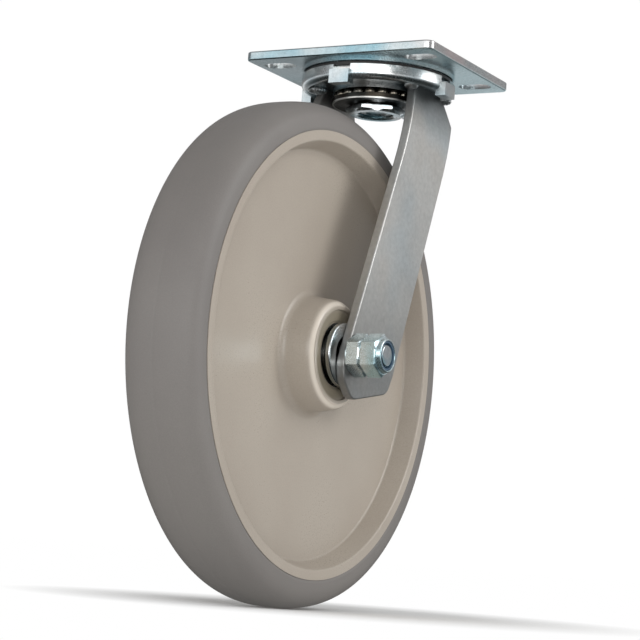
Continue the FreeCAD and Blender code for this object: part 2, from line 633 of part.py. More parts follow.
def make_grease_fitting():
    """Grease fitting driven into the yoke base's skirt, clear of the legs and lugs."""
    body = new_body("grease_fitting")
    facing = Rotation(Vector(0, 0, 1), number("fitting_turn")) * Rotation(Vector(0, 1, 0), 90)
    body.Placement = Placement(Vector(0, 0, 0), facing)
    bind(body, Placement__Base__x=f"{CUP_RADIUS} * cos(fitting_turn)",
         Placement__Base__y=f"{CUP_RADIUS} * sin(fitting_turn)",
         Placement__Base__z=f"{CUP_TOP} - cup_height * 0.4")
    depth, shank, waist = "cup_wall * 0.6", "fitting_radius * 0.7", "fitting_radius * 0.55"
    head, tip = "fitting_radius * 0.75", "fitting_radius * 0.4"
    turned(body, [("0", f"-({depth})"), (shank, f"-({depth})"), (shank, "0"),
                  ("fitting_radius", "0"), ("fitting_radius", "fitting_length * 0.35"),
                  (waist, "fitting_length * 0.5"), (waist, "fitting_length * 0.7"),
                  (head, "fitting_length * 0.85"), (tip, "fitting_length"),
                  ("0", "fitting_length")])
    return body


# ---------------------------------------------------------------- axle group
def make_axle_bolt():
    """Hexagon head bolt through both legs, head on the -X side."""
    body = new_body("axle_bolt", on_axle=True)
    extruded(body, hexagon("hex_flats"), f"-{LEG_OUTER} - head_thick", "head_thick")
    chamfer_hex(body, "hex_flats", f"-{LEG_OUTER} - head_thick", 1)
    under = f"-{LEG_OUTER} - cut_over"
    end = f"({LOCK_END} - bolt_setback)"
    shank = "axle_diameter / 2"
    turned(body, [("0", under), (shank, under), (shank, f"{end} - bolt_chamfer"),
                  (f"{shank} - bolt_chamfer", end), ("0", end)])
    return body


def make_axle_jam_nut():
    """Hexagon nut against the leg."""
    body = new_body("axle_jam_nut", on_axle=True)
    extruded(body, hexagon("hex_flats"), LEG_OUTER, "jam_nut_thick")
    chamfer_hex(body, "hex_flats", LEG_OUTER, 1)
    chamfer_hex(body, "hex_flats", JAM_END, -1)
    plug(body, "axle_diameter / 2", f"{LEG_OUTER} - cut_over", f"{JAM_END} + cut_over")
    return body


def make_axle_lock_nut():
    """Lock nut with a rolled collar that holds its nylon ring."""
    body = new_body("axle_lock_nut", on_axle=True)
    extruded(body, hexagon("hex_flats"), JAM_END, "lock_nut_hex")
    chamfer_hex(body, "hex_flats", JAM_END, 1)
    chamfer_hex(body, "hex_flats", COLLAR_FOOT, -1)
    foot = f"{COLLAR_FOOT} - cut_over"
    turned(body, [("0", foot), ("collar_radius", foot), ("collar_radius", f"{LOCK_END} - collar_round"),
                  ("collar_radius - collar_round", LOCK_END), ("0", LOCK_END)])
    plug(body, "axle_diameter / 2", f"{JAM_END} - cut_over", f"{LOCK_END} + cut_over")
    plug(body, "collar_mouth", f"{INSERT_END} - insert_thick", f"{LOCK_END} + cut_over")
    return body


def make_lock_nut_insert():
    """Nylon ring that grips the bolt's thread."""
    body = new_body("lock_nut_insert", on_axle=True)
    ring(body, "axle_diameter / 2", "collar_mouth", f"{INSERT_END} - insert_thick", INSERT_END)
    return body


def make_bearing_sleeve():
    """Spanner bushing that the legs clamp and the rollers run on."""
    body = new_body("bearing_sleeve", on_axle=True)
    ring(body, "axle_diameter / 2 + sliding_fit", "sleeve_diameter / 2", f"-{LEG_INNER}", LEG_INNER)
    return body


def make_thrust_washer(name, side):
    """Washer between the hub and a leg; side is +1 at the nut."""
    body = new_body(name, on_axle=True)
    leg_face, hub_face = f"{side} * {LEG_INNER}", f"{side} * ({LEG_INNER} - washer_thick)"
    low, high = (hub_face, leg_face) if side > 0 else (leg_face, hub_face)
    ring(body, "sleeve_diameter / 2 + sliding_fit", WASHER_RADIUS, low, high)
    return body


# ---------------------------------------------------------------- hub bearing and wheel
def roller_count():
    """As many rollers as fit with a cage bar between each pair."""
    return most_round(ROLLER_CIRCLE, "roller_diameter + cage_bar + 2 * cage_gap")


def make_hub_rollers():
    """Rollers of the hub bearing: one solid each."""
    rollers = []
    count = roller_count()
    for index in range(count):
        item = doc.addObject("Part::Cylinder", f"roller_{index}")
        turn = f"{index} * 360 / {count}"
        bind(item, Radius="roller_diameter / 2", Height=f"2 * {ROLLER_HALF}",
             Placement__Base__x=f"{ROLLER_CIRCLE} * cos({turn})",
             Placement__Base__y=f"{ROLLER_CIRCLE} * sin({turn})", Placement__Base__z=f"-{ROLLER_HALF}")
        rollers.append(item)
    group = doc.addObject("Part::Compound", "hub_rollers")
    group.Label = "hub_rollers"
    group.Links = rollers
    place_on_axle(group)
    return group


def place_on_axle(item):
    """Move an object drawn about its own Z onto the axle."""
    item.Placement = axle_placement()
    bind(item, Placement__Base__y="-swivel_trail", Placement__Base__z=f"-{AXLE_DROP}")


def make_roller_cage():
    """Cage: two end rings joined by a bar between each pair of rollers."""
    body = new_body("roller_cage", on_axle=True)
    inner = f"{ROLLER_CIRCLE} - cage_depth / 2"
    outer = f"{ROLLER_CIRCLE} + cage_depth / 2"
    near = f"({ROLLER_HALF} + sliding_fit)"
    ring(body, inner, outer, f"-{near} - cage_ring", f"-{near}")
    half = "cage_bar / 2"
    turn = f"180 / {roller_count()}"
    corners = [(inner, f"-{half}"), (outer, f"-{half}"), (outer, half), (inner, half)]
    bar = [(f"({x}) * cos({turn}) - ({y}) * sin({turn})", f"({x}) * sin({turn}) + ({y}) * cos({turn})")
           for x, y in corners]
    feature = extruded(body, bar, f"-{near} - cage_ring / 8", f"2 * {near} + cage_ring / 4")
    around_z(body, feature, roller_count())
    ring(body, inner, outer, near, f"{near} + cage_ring")
    return body


def make_bearing_cup():
    """Steel cup pressed into the hub, outer race of the rollers."""
    body = new_body("bearing_cup", on_axle=True)
    ring(body, CUP_BORE, BEARING_OUTER, f"-{BEARING_HALF}", BEARING_HALF)
    return body


def make_wheel_core():
    """Moulded core: rim with a keyed outside, flat web and hub boss."""
    body = new_body("wheel_core", on_axle=True)
    half_rim, half_web = "tread_width / 2", "web_width / 2"
    side = [
        (BEARING_OUTER, HUB_HALF), (HUB_RADIUS, HUB_HALF), (HUB_ROOT, half_web),
        (f"{RIM_RADIUS} - rim_lip - rim_draft", half_web), (f"{RIM_RADIUS} - rim_lip", half_rim),
        (RIM_RADIUS, half_rim), (RIM_RADIUS, "rib_width / 2"),
        (f"{RIM_RADIUS} + rib_height", "rib_width / 2"),
    ]
    turned(body, side + [(radius, f"-({level})") for radius, level in reversed(side)])
    for sign in ("", "-"):
        face = f"{sign}({HUB_HALF})"
        floor = f"{sign}({BEARING_HALF})"
        plug(body, COUNTERBORE, floor, face)
    doc.recompute()
    wanted = number(HUB_ROOT)
    roots = edges_near(body.Shape, lambda edge: edge.Curve.TypeId == "Part::GeomCircle"
                       and abs(edge.Curve.Radius - wanted) < 0.01)
    round_edges(body, roots, "hub_root_round")
    return body


def make_tyre():
    """Rubber tyre moulded round the core and keyed over its rib."""
    body = new_body("tyre", on_axle=True)
    half = "tread_width / 2"
    side = [(f"{RIM_RADIUS} + rib_height", "rib_width / 2"), (RIM_RADIUS, "rib_width / 2"),
            (RIM_RADIUS, half), ("wheel_diameter / 2", half)]
    turned(body, side + [(radius, f"-({level})") for radius, level in reversed(side)])
    doc.recompute()
    wanted = number("wheel_diameter / 2")
    shoulders = edges_near(body.Shape, lambda edge: edge.Curve.TypeId == "Part::GeomCircle"
                           and abs(edge.Curve.Radius - wanted) < 0.01)
    round_edges(body, shoulders, "tread_shoulder")
    return body


# ---------------------------------------------------------------- assembly
def make_fork():
    """Yoke base with its two legs, four weld beads, seal and grease fitting."""
    yoke = make_yoke_base()
    leg = round_leg(make_leg_nut_side())
    leg.Label = "leg_nut_side"
    other_leg = mirrored(leg, "leg_head_side")
    beads = [make_weld(f"weld_{place}", place == "front", leg, yoke) for place in ("front", "rear")]
    near = doc.addObject("Part::Compound", "weld_nut_side")
    near.Label = "weld_nut_side"
    near.Links = beads
    far = mirrored(near, "weld_head_side")
    return [yoke, leg, other_leg, near, far, make_raceway_seal(), make_grease_fitting()]


nodes = [
    make_top_plate(), make_king_pin(), make_lower_race_cone(), make_king_nut(),
    make_balls("main_balls", "main_ball", MAIN_CIRCLE, MAIN_LEVEL),
    make_balls("lower_balls", "lower_ball", LOWER_CIRCLE, LOWER_LEVEL),
    *make_fork(),
    make_axle_bolt(), make_axle_jam_nut(), make_axle_lock_nut(), make_lock_nut_insert(),
    make_bearing_sleeve(),
    make_thrust_washer("washer_nut_side", 1), make_thrust_washer("washer_head_side", -1),
    make_hub_rollers(), make_roller_cage(), make_bearing_cup(), make_wheel_core(), make_tyre(),
]
doc.recompute()

faults = [item.Name for item in doc.Objects if "Invalid" in item.State or "Error" in item.State]
if faults:
    raise RuntimeError(f"these objects did not build: {faults}")
for node in nodes:
    if node.Shape.isNull() or not node.Shape.isValid() or not node.Shape.Solids:
        raise RuntimeError(f"{node.Label} has no sound solid")

os.makedirs("parts", exist_ok=True)
for node in nodes:
    node.Shape.exportStep(f"parts/{node.Label}.step")
    print(f"{node.Label}: {len(node.Shape.Solids)} solid(s), {node.Shape.Volume:.0f} mm3")
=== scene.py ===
"""Swivel caster with a large gate wheel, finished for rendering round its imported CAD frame.

Metres, in the CAD's own frame: the origin is the centre of the plate's top face, on the swivel
axis. Z points up, X runs along the axle towards the nuts, and the wheel trails towards -Y.
"""
import bmesh
import bpy
import math
import numpy as np
from mathutils import Matrix, Vector


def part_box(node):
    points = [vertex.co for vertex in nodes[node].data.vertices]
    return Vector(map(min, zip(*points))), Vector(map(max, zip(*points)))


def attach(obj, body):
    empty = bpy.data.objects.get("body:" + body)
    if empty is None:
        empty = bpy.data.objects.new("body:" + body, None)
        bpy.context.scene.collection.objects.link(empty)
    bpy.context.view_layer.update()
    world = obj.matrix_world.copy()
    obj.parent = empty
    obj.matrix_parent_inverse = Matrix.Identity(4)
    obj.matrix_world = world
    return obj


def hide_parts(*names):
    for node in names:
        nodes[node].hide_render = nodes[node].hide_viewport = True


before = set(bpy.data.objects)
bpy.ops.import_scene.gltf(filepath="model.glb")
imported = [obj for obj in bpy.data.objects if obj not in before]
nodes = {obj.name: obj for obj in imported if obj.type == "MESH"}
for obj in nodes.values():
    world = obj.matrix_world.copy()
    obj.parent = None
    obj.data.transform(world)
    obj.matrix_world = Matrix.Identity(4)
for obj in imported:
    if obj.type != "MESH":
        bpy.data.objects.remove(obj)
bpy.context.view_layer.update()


# ---------------------------------------------------------------- top plate
# A stamped steel plate with four slots for its mounting bolts and a race boss pressed into its
# underside. It is zinc plated: a bright grey skin with faint yellow, violet and blue-green
# stains where the passivation ran thicker, and fine scratches from handling.
mm = 0.001


def linear(red, green, blue):
    """A colour given as it looks on a screen, 0 to 255, turned to linear light."""
    parts = np.array([red, green, blue]) / 255
    light = np.where(parts <= 0.04045, parts / 12.92, ((parts + 0.055) / 1.055) ** 2.4)
    return (*light, 1.0)


def node_at(tree, kind, **settings):
    """A new node with its own settings made, such as an operation or a data type."""
    node = tree.nodes.new(kind)
    for name, value in settings.items():
        setattr(node, name, value)
    return node


def wire(tree, source, target):
    """Join an output to an input, or set the input when the source is a plain value."""
    if isinstance(source, bpy.types.NodeSocket):
        tree.links.new(source, target)
    else:
        target.default_value = source


def place_in(tree):
    """Where a point of the surface lies, in metres."""
    return node_at(tree, "ShaderNodeTexCoord").outputs["Object"]


def split(tree, vector):
    """The three parts of a vector, as outputs by letter."""
    parts = node_at(tree, "ShaderNodeSeparateXYZ")
    wire(tree, vector, parts.inputs["Vector"])
    return parts.outputs


def vector_math(tree, operation, first, second=None, output="Vector"):
    """A vector worked on by one operation, with a fixed second vector where it needs one."""
    node = node_at(tree, "ShaderNodeVectorMath", operation=operation)
    wire(tree, first, node.inputs[0])
    if second is not None:
        node.inputs[1].default_value = second
    return node.outputs[output]


def noise_of(tree, place, scale, detail=3.0, roughness=0.5):
    """Cloudy noise from 0 to 1, scale patches to the metre."""
    noise = node_at(tree, "ShaderNodeTexNoise")
    wire(tree, place, noise.inputs["Vector"])
    wire(tree, scale, noise.inputs["Scale"])
    noise.inputs["Detail"].default_value = detail
    noise.inputs["Roughness"].default_value = roughness
    return noise.outputs["Fac"]


def ranged(tree, value, low, high, to_low=0.0, to_high=1.0):
    """A value carried from one range to another and held inside it."""
    node = node_at(tree, "ShaderNodeMapRange")
    for name, part in (("Value", value), ("From Min", low), ("From Max", high),
                       ("To Min", to_low), ("To Max", to_high)):
        wire(tree, part, node.inputs[name])
    return node.outputs["Result"]


def mixed(tree, factor, first, second, blend="MIX"):
    """Two colours blended by a mask."""
    node = node_at(tree, "ShaderNodeMix", data_type="RGBA", blend_type=blend)
    wire(tree, factor, node.inputs["Factor"])
    wire(tree, first, node.inputs["A"])
    wire(tree, second, node.inputs["B"])
    return node.outputs["Result"]


def times(tree, first, second, operation="MULTIPLY"):
    """Two numbers multiplied, or combined by another operation when it is named."""
    node = node_at(tree, "ShaderNodeMath", operation=operation)
    wire(tree, first, node.inputs[0])
    wire(tree, second, node.inputs[1])
    return node.outputs["Value"]


def new_group(name, inputs, outputs):
    """An empty node group with named sockets, and its input and output nodes."""
    tree = bpy.data.node_groups.new(name, "ShaderNodeTree")
    for socket, kind in inputs:
        tree.interface.new_socket(socket, in_out="INPUT", socket_type=kind)
    for socket, kind in outputs:
        tree.interface.new_socket(socket, in_out="OUTPUT", socket_type=kind)
    return tree, tree.nodes.new("NodeGroupInput"), tree.nodes.new("NodeGroupOutput")


def make_zinc_group():
    """Zinc plating. Colour: the base drifts to two stain colours along two wide noises, and
    darkens in small blotches. Roughness: the base plus a fine noise and a thin scratch mask.
    Height: the same fine noise, less the scratches."""
    colour, number = "NodeSocketColor", "NodeSocketFloat"
    tree, given, made = new_group(
        "zinc plating",
        (("Base", colour), ("Warm Stain", colour), ("Cool Stain", colour), ("Stain Size", number),
         ("Stain Amount", number), ("Roughness", number), ("Scratches", number)),
        (("Colour", colour), ("Roughness", number), ("Height", number)))
    place = place_in(tree)
    wide = noise_of(tree, place, given.outputs["Stain Size"], 2.0)
    shifted = vector_math(tree, "ADD", place, (0.37, -0.21, 0.58))
    other = noise_of(tree, shifted, given.outputs["Stain Size"], 2.0)
    warm = times(tree, ranged(tree, wide, 0.50, 0.68), given.outputs["Stain Amount"])
    cool = times(tree, ranged(tree, other, 0.47, 0.66), given.outputs["Stain Amount"])
    tinted = mixed(tree, warm, given.outputs["Base"], given.outputs["Warm Stain"])
    tinted = mixed(tree, cool, tinted, given.outputs["Cool Stain"])
    blotch = noise_of(tree, place, 420.0, 4.0, 0.6)
    shade = ranged(tree, blotch, 0.3, 0.7, 0.86, 1.04)
    tinted = mixed(tree, 1.0, tinted, shade, "MULTIPLY")
    wire(tree, tinted, made.inputs["Colour"])

    drawn = node_at(tree, "ShaderNodeMapping")
    wire(tree, place, drawn.inputs["Vector"])
    drawn.inputs["Rotation"].default_value = (0.5, 0.3, 0.9)
    drawn.inputs["Scale"].default_value = (30.0, 1400.0, 600.0)
    streak = noise_of(tree, drawn.outputs["Vector"], 1.0, 2.0)
    scratch = times(tree, ranged(tree, streak, 0.66, 0.74), given.outputs["Scratches"])
    fine = noise_of(tree, place, 2600.0, 3.0, 0.6)
    grain = ranged(tree, fine, 0.3, 0.7, -0.05, 0.07)
    cloudy = ranged(tree, wide, 0.35, 0.7, -0.04, 0.08)
    rough = times(tree, given.outputs["Roughness"], grain, "ADD")
    rough = times(tree, rough, cloudy, "ADD")
    rough = times(tree, rough, times(tree, scratch, 0.15), "ADD")
    wire(tree, rough, made.inputs["Roughness"])
    wire(tree, times(tree, fine, scratch, "SUBTRACT"), made.inputs["Height"])
    return tree


def plain_material(name, **values):
    """A material whose Principled shader has these fixed values on its own sockets."""
    material = bpy.data.materials.new(name)
    material.use_nodes = True
    shader = material.node_tree.nodes["Principled BSDF"]
    for socket, value in values.items():
        shader.inputs[socket.replace("_", " ")].default_value = value
    return material, material.node_tree, shader


def raised(tree, shader, height, distance):
    """Feed a height into the shader's normal, distance metres from lowest to highest."""
    bump = node_at(tree, "ShaderNodeBump")
    bump.inputs["Strength"].default_value = 1.0
    bump.inputs["Distance"].default_value = distance
    wire(tree, height, bump.inputs["Height"])
    wire(tree, bump.outputs["Normal"], shader.inputs["Normal"])


ZINC = make_zinc_group()


def zinc(name, base, warm, cool, size, amount, rough, scratches=0.5, grain=0.00002, metal=1.0):
    """A zinc plated steel; a thick dull plating is a little less than all metal."""
    material, tree, shader = plain_material(name, Metallic=metal)
    plating = node_at(tree, "ShaderNodeGroup", node_tree=ZINC)
    for socket, value in (("Base", base), ("Warm Stain", warm), ("Cool Stain", cool),
                          ("Stain Size", size), ("Stain Amount", amount),
                          ("Roughness", rough), ("Scratches", scratches)):
        plating.inputs[socket].default_value = value
    wire(tree, plating.outputs["Colour"], shader.inputs["Base Color"])
    wire(tree, plating.outputs["Roughness"], shader.inputs["Roughness"])
    raised(tree, shader, plating.outputs["Height"], grain)
    return material


def paint(material, *names):
    """Give CAD nodes a finish in place of the one they came with."""
    for name in names:
        nodes[name].data.materials.clear()
        nodes[name].data.materials.append(material)


def finish_of(material):
    """A material's node tree, its shader and the colour that feeds it so far."""
    tree = material.node_tree
    shader = tree.nodes["Principled BSDF"]
    return tree, shader, shader.inputs["Base Color"].links[0].from_socket


def painted_underside_reflection(material):
    """Paint a blue-grey reflection on faces that point down, paler towards the nut side."""
    tree, shader, plated = finish_of(material)
    facing = split(tree, node_at(tree, "ShaderNodeNewGeometry").outputs["Normal"])["Z"]
    side = split(tree, place_in(tree))["X"]
    blue = mixed(tree, ranged(tree, side, -30 * mm, 0.0), linear(154, 170, 175), linear(192, 216, 222))
    blue = mixed(tree, ranged(tree, side, 10 * mm, 50 * mm), blue, linear(222, 249, 255))
    below = ranged(tree, facing, -0.2, -0.8, 0.0, 0.85)
    wire(tree, mixed(tree, below, plated, blue), shader.inputs["Base Color"])


plate_zinc = zinc("plate zinc", linear(196, 200, 200), linear(196, 178, 176), linear(120, 168, 182),
                  22.0, 0.75, 0.24, 0.6)
# The plate's underside gets a painted reflection: blue-grey, paler towards the nut side.
painted_underside_reflection(plate_zinc)
paint(plate_zinc, "top_plate")


# ---------------------------------------------------------------- swivel bearings
# Two rings of hardened balls: the large ring carries the load between the plate's boss and the
# yoke base, the small one runs under the yoke base's hub on a cone that the king nut holds up.
# The lower ring and cone carry painted shade, and the cone's lower edge a painted highlight.
race_steel = zinc("race steel", linear(188, 190, 192), linear(150, 140, 128), linear(140, 160, 168),
                  60.0, 0.4, 0.22, 0.4)
ball_steel = zinc("ball steel", linear(215, 216, 218), linear(180, 176, 170), linear(170, 184, 194),
                  90.0, 0.2, 0.10, 0.1, 0.000004)
# Painted shade: the lower balls are coloured dark.
shaded_ball_steel = zinc("shaded ball steel", linear(112, 106, 96), linear(96, 86, 72), linear(92, 100, 102),
                  90.0, 0.3, 0.2, 0.1, 0.000004)
paint(ball_steel, "main_balls")
paint(shaded_ball_steel, "lower_balls")
# Painted shade: the lower race cone is coloured dark, with a painted highlight along its lower outer edge.
shaded_race_steel = zinc("shaded race steel", linear(54, 50, 44), linear(66, 56, 44), linear(46, 54, 56),
                   80.0, 0.5, 0.3, 0.3)
tree, shader, painted_shade_colour = finish_of(shaded_race_steel)
cone_low, cone_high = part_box("lower_race_cone")
cone_height = split(tree, place_in(tree))["Z"]
cone_reach = vector_math(tree, "LENGTH", vector_math(tree, "MULTIPLY", place_in(tree), (1, 1, 0)),
                         output="Value")
painted_edge_highlight = times(tree, ranged(tree, cone_height, cone_low.z + 0.9 * mm, cone_low.z + 0.5 * mm),
              ranged(tree, cone_reach, cone_high.x - 1.2 * mm, cone_high.x - 0.8 * mm))
wire(tree, mixed(tree, painted_edge_highlight, painted_shade_colour, linear(206, 205, 200)), shader.inputs["Base Color"])
paint(shaded_race_steel, "lower_race_cone")


# ---------------------------------------------------------------- raceway seal
# A black rubber ring in the gap under the race boss, where it keeps dirt out of the main balls.
# It is moulded, with a fine matt grain, and lies loose in its groove.
def make_grain_group():
    """Moulded surface. Colour: the base mottled towards a second colour by a wide noise and
    darkened by a small one. Height: fine pebble noise plus a slow waviness."""
    colour, number = "NodeSocketColor", "NodeSocketFloat"
    tree, given, made = new_group(
        "moulded grain",
        (("Base", colour), ("Mottle", colour), ("Patch Size", number), ("Pebble Size", number),
         ("Roughness", number)),
        (("Colour", colour), ("Roughness", number), ("Height", number)))
    place = place_in(tree)
    patches = noise_of(tree, place, given.outputs["Patch Size"], 4.0, 0.55)
    tinted = mixed(tree, ranged(tree, patches, 0.35, 0.68), given.outputs["Base"],
                   given.outputs["Mottle"])
    pebble = noise_of(tree, place, given.outputs["Pebble Size"], 3.0, 0.6)
    tinted = mixed(tree, 1.0, tinted, ranged(tree, pebble, 0.3, 0.7, 0.93, 1.05), "MULTIPLY")
    wire(tree, tinted, made.inputs["Colour"])
    rough = times(tree, given.outputs["Roughness"], ranged(tree, pebble, 0.3, 0.7, -0.05, 0.06), "ADD")
    rough = times(tree, rough, ranged(tree, patches, 0.35, 0.7, -0.04, 0.05), "ADD")
    wire(tree, rough, made.inputs["Roughness"])
    wire(tree, times(tree, pebble, times(tree, patches, 2.0), "ADD"), made.inputs["Height"])
    return tree


GRAIN = make_grain_group()


def moulded(name, base, mottle, patch, pebble, rough, relief, **values):
    """A moulded plastic or rubber."""
    material, tree, shader = plain_material(name, **values)
    grain = node_at(tree, "ShaderNodeGroup", node_tree=GRAIN)
    for socket, value in (("Base", base), ("Mottle", mottle), ("Patch Size", patch),
                          ("Pebble Size", pebble), ("Roughness", rough)):
        grain.inputs[socket].default_value = value
    wire(tree, grain.outputs["Colour"], shader.inputs["Base Color"])
    wire(tree, grain.outputs["Roughness"], shader.inputs["Roughness"])
    raised(tree, shader, grain.outputs["Height"], relief)
    return material


seal_rubber = moulded("seal rubber", linear(34, 34, 35), linear(44, 43, 42), 120.0, 3000.0, 0.55,
                      0.00003)
paint(seal_rubber, "raceway_seal")


# ---------------------------------------------------------------- king pin and nut
# A forged and zinc plated pin with a flat head in the plate; its thin nut draws the whole swivel
# together and is peened so that it can't turn.
def skin(name, points):
    """A closed surface through a grid of points, rows by columns by 3. Columns run round and join
    up. A last row that lies on the first is joined to it, and a row that is one repeated point
    closes the surface as a pole."""
    rows, columns = points.shape[:2]
    index = np.arange(rows * columns).reshape(rows, columns)
    before, after = index[:-1], index[1:]
    quads = np.stack([before, np.roll(before, -1, axis=1), np.roll(after, -1, axis=1), after], axis=-1)
    mesh = bpy.data.meshes.new(name)
    mesh.from_pydata(points.reshape(-1, 3).tolist(), [], quads.reshape(-1, 4).tolist())
    shape = bmesh.new()
    shape.from_mesh(mesh)
    bmesh.ops.remove_doubles(shape, verts=shape.verts, dist=1e-7)
    bmesh.ops.recalc_face_normals(shape, faces=shape.faces)
    shape.to_mesh(mesh)
    shape.free()
    mesh.shade_smooth()
    mesh.set_sharp_from_angle(angle=math.radians(35))
    piece = bpy.data.objects.new(name, mesh)
    bpy.context.scene.collection.objects.link(piece)
    return piece


def rounded(corners, radii, steps=6):
    """A polyline whose corners are arcs. Each corner's arc touches both runs at the same
    distance, radius / tan(half the corner's angle), and its points turn evenly about its centre."""
    corners = np.array(corners, float)
    line = [corners[0]]
    for here, before, after, radius in zip(corners[1:-1], corners[:-2], corners[2:], radii):
        to_before = (before - here) / np.linalg.norm(before - here)
        to_after = (after - here) / np.linalg.norm(after - here)
        half = math.acos(np.clip(to_before @ to_after, -1, 1)) / 2
        if radius == 0 or half > math.pi / 2 - 0.01:
            line.append(here)
            continue
        middle = (to_before + to_after) / np.linalg.norm(to_before + to_after)
        centre = here + middle * radius / math.sin(half)
        start = here + to_before * radius / math.tan(half) - centre
        end = here + to_after * radius / math.tan(half) - centre
        sweep = math.pi - 2 * half
        turn = np.linspace(0, 1, steps + 1)[:, None]
        line.extend(centre + (np.sin((1 - turn) * sweep) * start + np.sin(turn * sweep) * end)
                    / math.sin(sweep))
    line.append(corners[-1])
    return np.array(line)


def turned(name, profile, axis, centre, columns=96, flats=None):
    """A turned piece. Its profile is pairs of a place along the axis and a radius; each point of
    the profile goes once round the axis. With flats, the radius is held under that of a hexagon,
    flats / 2 / cos(angle from the nearest flat's middle), which cuts the six flats and leaves
    the chamfer's curves where the cone and the flats meet."""
    angle = np.linspace(0, 2 * math.pi, columns, endpoint=False)
    along = profile[:, 0, None] + 0 * angle
    radius = profile[:, 1, None] + 0 * angle
    if flats:
        from_flat = (angle + math.pi / 6) % (math.pi / 3) - math.pi / 6
        radius = np.minimum(radius, flats / 2 / np.cos(from_flat))
    across, up = radius * np.cos(angle), radius * np.sin(angle)
    if axis == "x":
        points = np.stack([along, across, up], axis=-1)
    else:
        points = np.stack([across, up, along], axis=-1)
    return skin(name, points + np.array(centre))


def finish_piece(piece, body, slot, material, *replaced):
    """Give a piece its finish and body, and let it stand for its CAD nodes."""
    piece.data.materials.append(material)
    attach(piece, body)
    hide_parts(*replaced)
    return piece


fastener_zinc = zinc("fastener zinc", linear(206, 212, 214), linear(190, 186, 182),
                     linear(128, 184, 200), 55.0, 0.7, 0.17, 0.5)
low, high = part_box("king_pin")
pin_end, pin_radius, head_radius = low.z, 19.05 * mm / 2, high.x
head_back, end_chamfer = high.z - 3 * mm, 1 * mm
peened_rim, peened_foot, peened_floor = 6 * mm, 5.2 * mm, pin_end + 0.6 * mm
king_pin = turned("king_pin_turned", rounded(
    [(high.z, 0), (high.z, head_radius), (head_back, head_radius), (head_back, pin_radius),
     (pin_end + end_chamfer, pin_radius), (pin_end, pin_radius - end_chamfer),
     (pin_end, peened_rim), (peened_floor, peened_foot), (peened_floor, 0)],
    [0.8 * mm, 0.5 * mm, 0.5 * mm, 0.4 * mm, 0.4 * mm, 0.3 * mm, 0.3 * mm]), "z", (0, 0, 0))
finish_piece(king_pin, "plate", "fastener_steel", fastener_zinc, "king_pin")

low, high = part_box("king_nut")
nut_flats = 28.575 * mm
nut_corner, nut_face = nut_flats / math.sqrt(3), nut_flats / 2 - 0.3 * mm
nut_chamfer, thread_mouth, nut_columns = 1.4 * mm, 1 * mm, 144
king_nut = turned("king_nut_turned", rounded(
    [(high.z, pin_radius), (high.z, nut_face), (high.z - nut_chamfer, nut_corner),
     (low.z + nut_chamfer, nut_corner), (low.z, nut_face), (low.z, pin_radius + thread_mouth),
     (low.z + thread_mouth, pin_radius), (high.z, pin_radius)],
    [0.3 * mm] * 6), "z", (0, 0, 0), nut_columns, nut_flats)
finish_piece(king_nut, "plate", "fastener_steel", fastener_zinc, "king_nut")


# ---------------------------------------------------------------- yoke base
# The pressed cup that swivels under the plate, with lock notches in its rim and a lug under
# each. Zinc plated like the plate; short rippled weld beads join its rim to the legs.
def bead(name, start, end, wide, high, ripples):
    """A weld bead. Its centre runs straight from start to end; its size is that of its middle
    times sqrt(1 - |2t - 1|^3), swollen by up to 8 % at each ripple, |sin(ripples * pi * t)|."""
    share = np.linspace(0, 1, 81)[:, None]
    ripple = 1 + 0.08 * np.abs(np.sin(ripples * math.pi * share))
    size = np.sqrt(1 - np.abs(2 * share - 1) ** 3) * ripple
    angle = np.linspace(0, 2 * math.pi, 40, endpoint=False)[:, None]
    run = (end - start) / np.linalg.norm(end - start)
    section = (wide * np.cos(angle) * np.array([-run[1], run[0], 0])
               + high * np.sin(angle) * np.array([0, 0, 1]))
    return skin(name, (start + share * (end - start))[:, None] + size[:, None] * section)


fork_zinc = zinc("fork zinc", linear(204, 205, 204), linear(178, 168, 158), linear(132, 170, 184),
                 26.0, 0.6, 0.26, 0.6)
paint(fork_zinc, "yoke_base")
weld_steel = zinc("weld steel", linear(205, 206, 206), linear(170, 160, 150), linear(150, 178, 188),
                  160.0, 0.5, 0.3, 0.3, 0.0002)
plate_thick, boss_height, swivel_gap, skirt_height = 4.7625, 1.2, 1.9, 7.6
cup_rim = -(plate_thick + boss_height + swivel_gap + skirt_height) * mm
bead_wide, bead_high, bead_ripples = 3.4 * mm, 2.3 * mm, 7
bead_ends = (("front", (25.4, -10.8), (31.8, -20.0)), ("rear", (24.8, 18.6), (33.0, 24.4)))
for side_name, sign in (("weld_nut_side", 1), ("weld_head_side", -1)):
    front, rear = (
        bead(f"{side_name}_{place}", np.array([sign * inner[0] * mm, inner[1] * mm, cup_rim + 1 * mm]),
             np.array([sign * outer[0] * mm, outer[1] * mm, cup_rim + 0.8 * mm]),
             bead_wide, bead_high, bead_ripples)
        for place, inner, outer in bead_ends)
    shape = bmesh.new()
    shape.from_mesh(front.data)
    shape.from_mesh(rear.data)
    shape.to_mesh(front.data)
    shape.free()
    bpy.data.objects.remove(rear)
    finish_piece(front, "fork", "fork_steel", weld_steel, side_name)


# ---------------------------------------------------------------- grease fitting
# A brass nipple driven into the skirt of the yoke base, through which the raceway is greased. It is
# turned from bar and dulled by handling.
brass = zinc("fitting brass", linear(196, 160, 96), linear(170, 130, 80), linear(160, 150, 110),
             150.0, 0.5, 0.28, 0.3)
paint(brass, "grease_fitting")
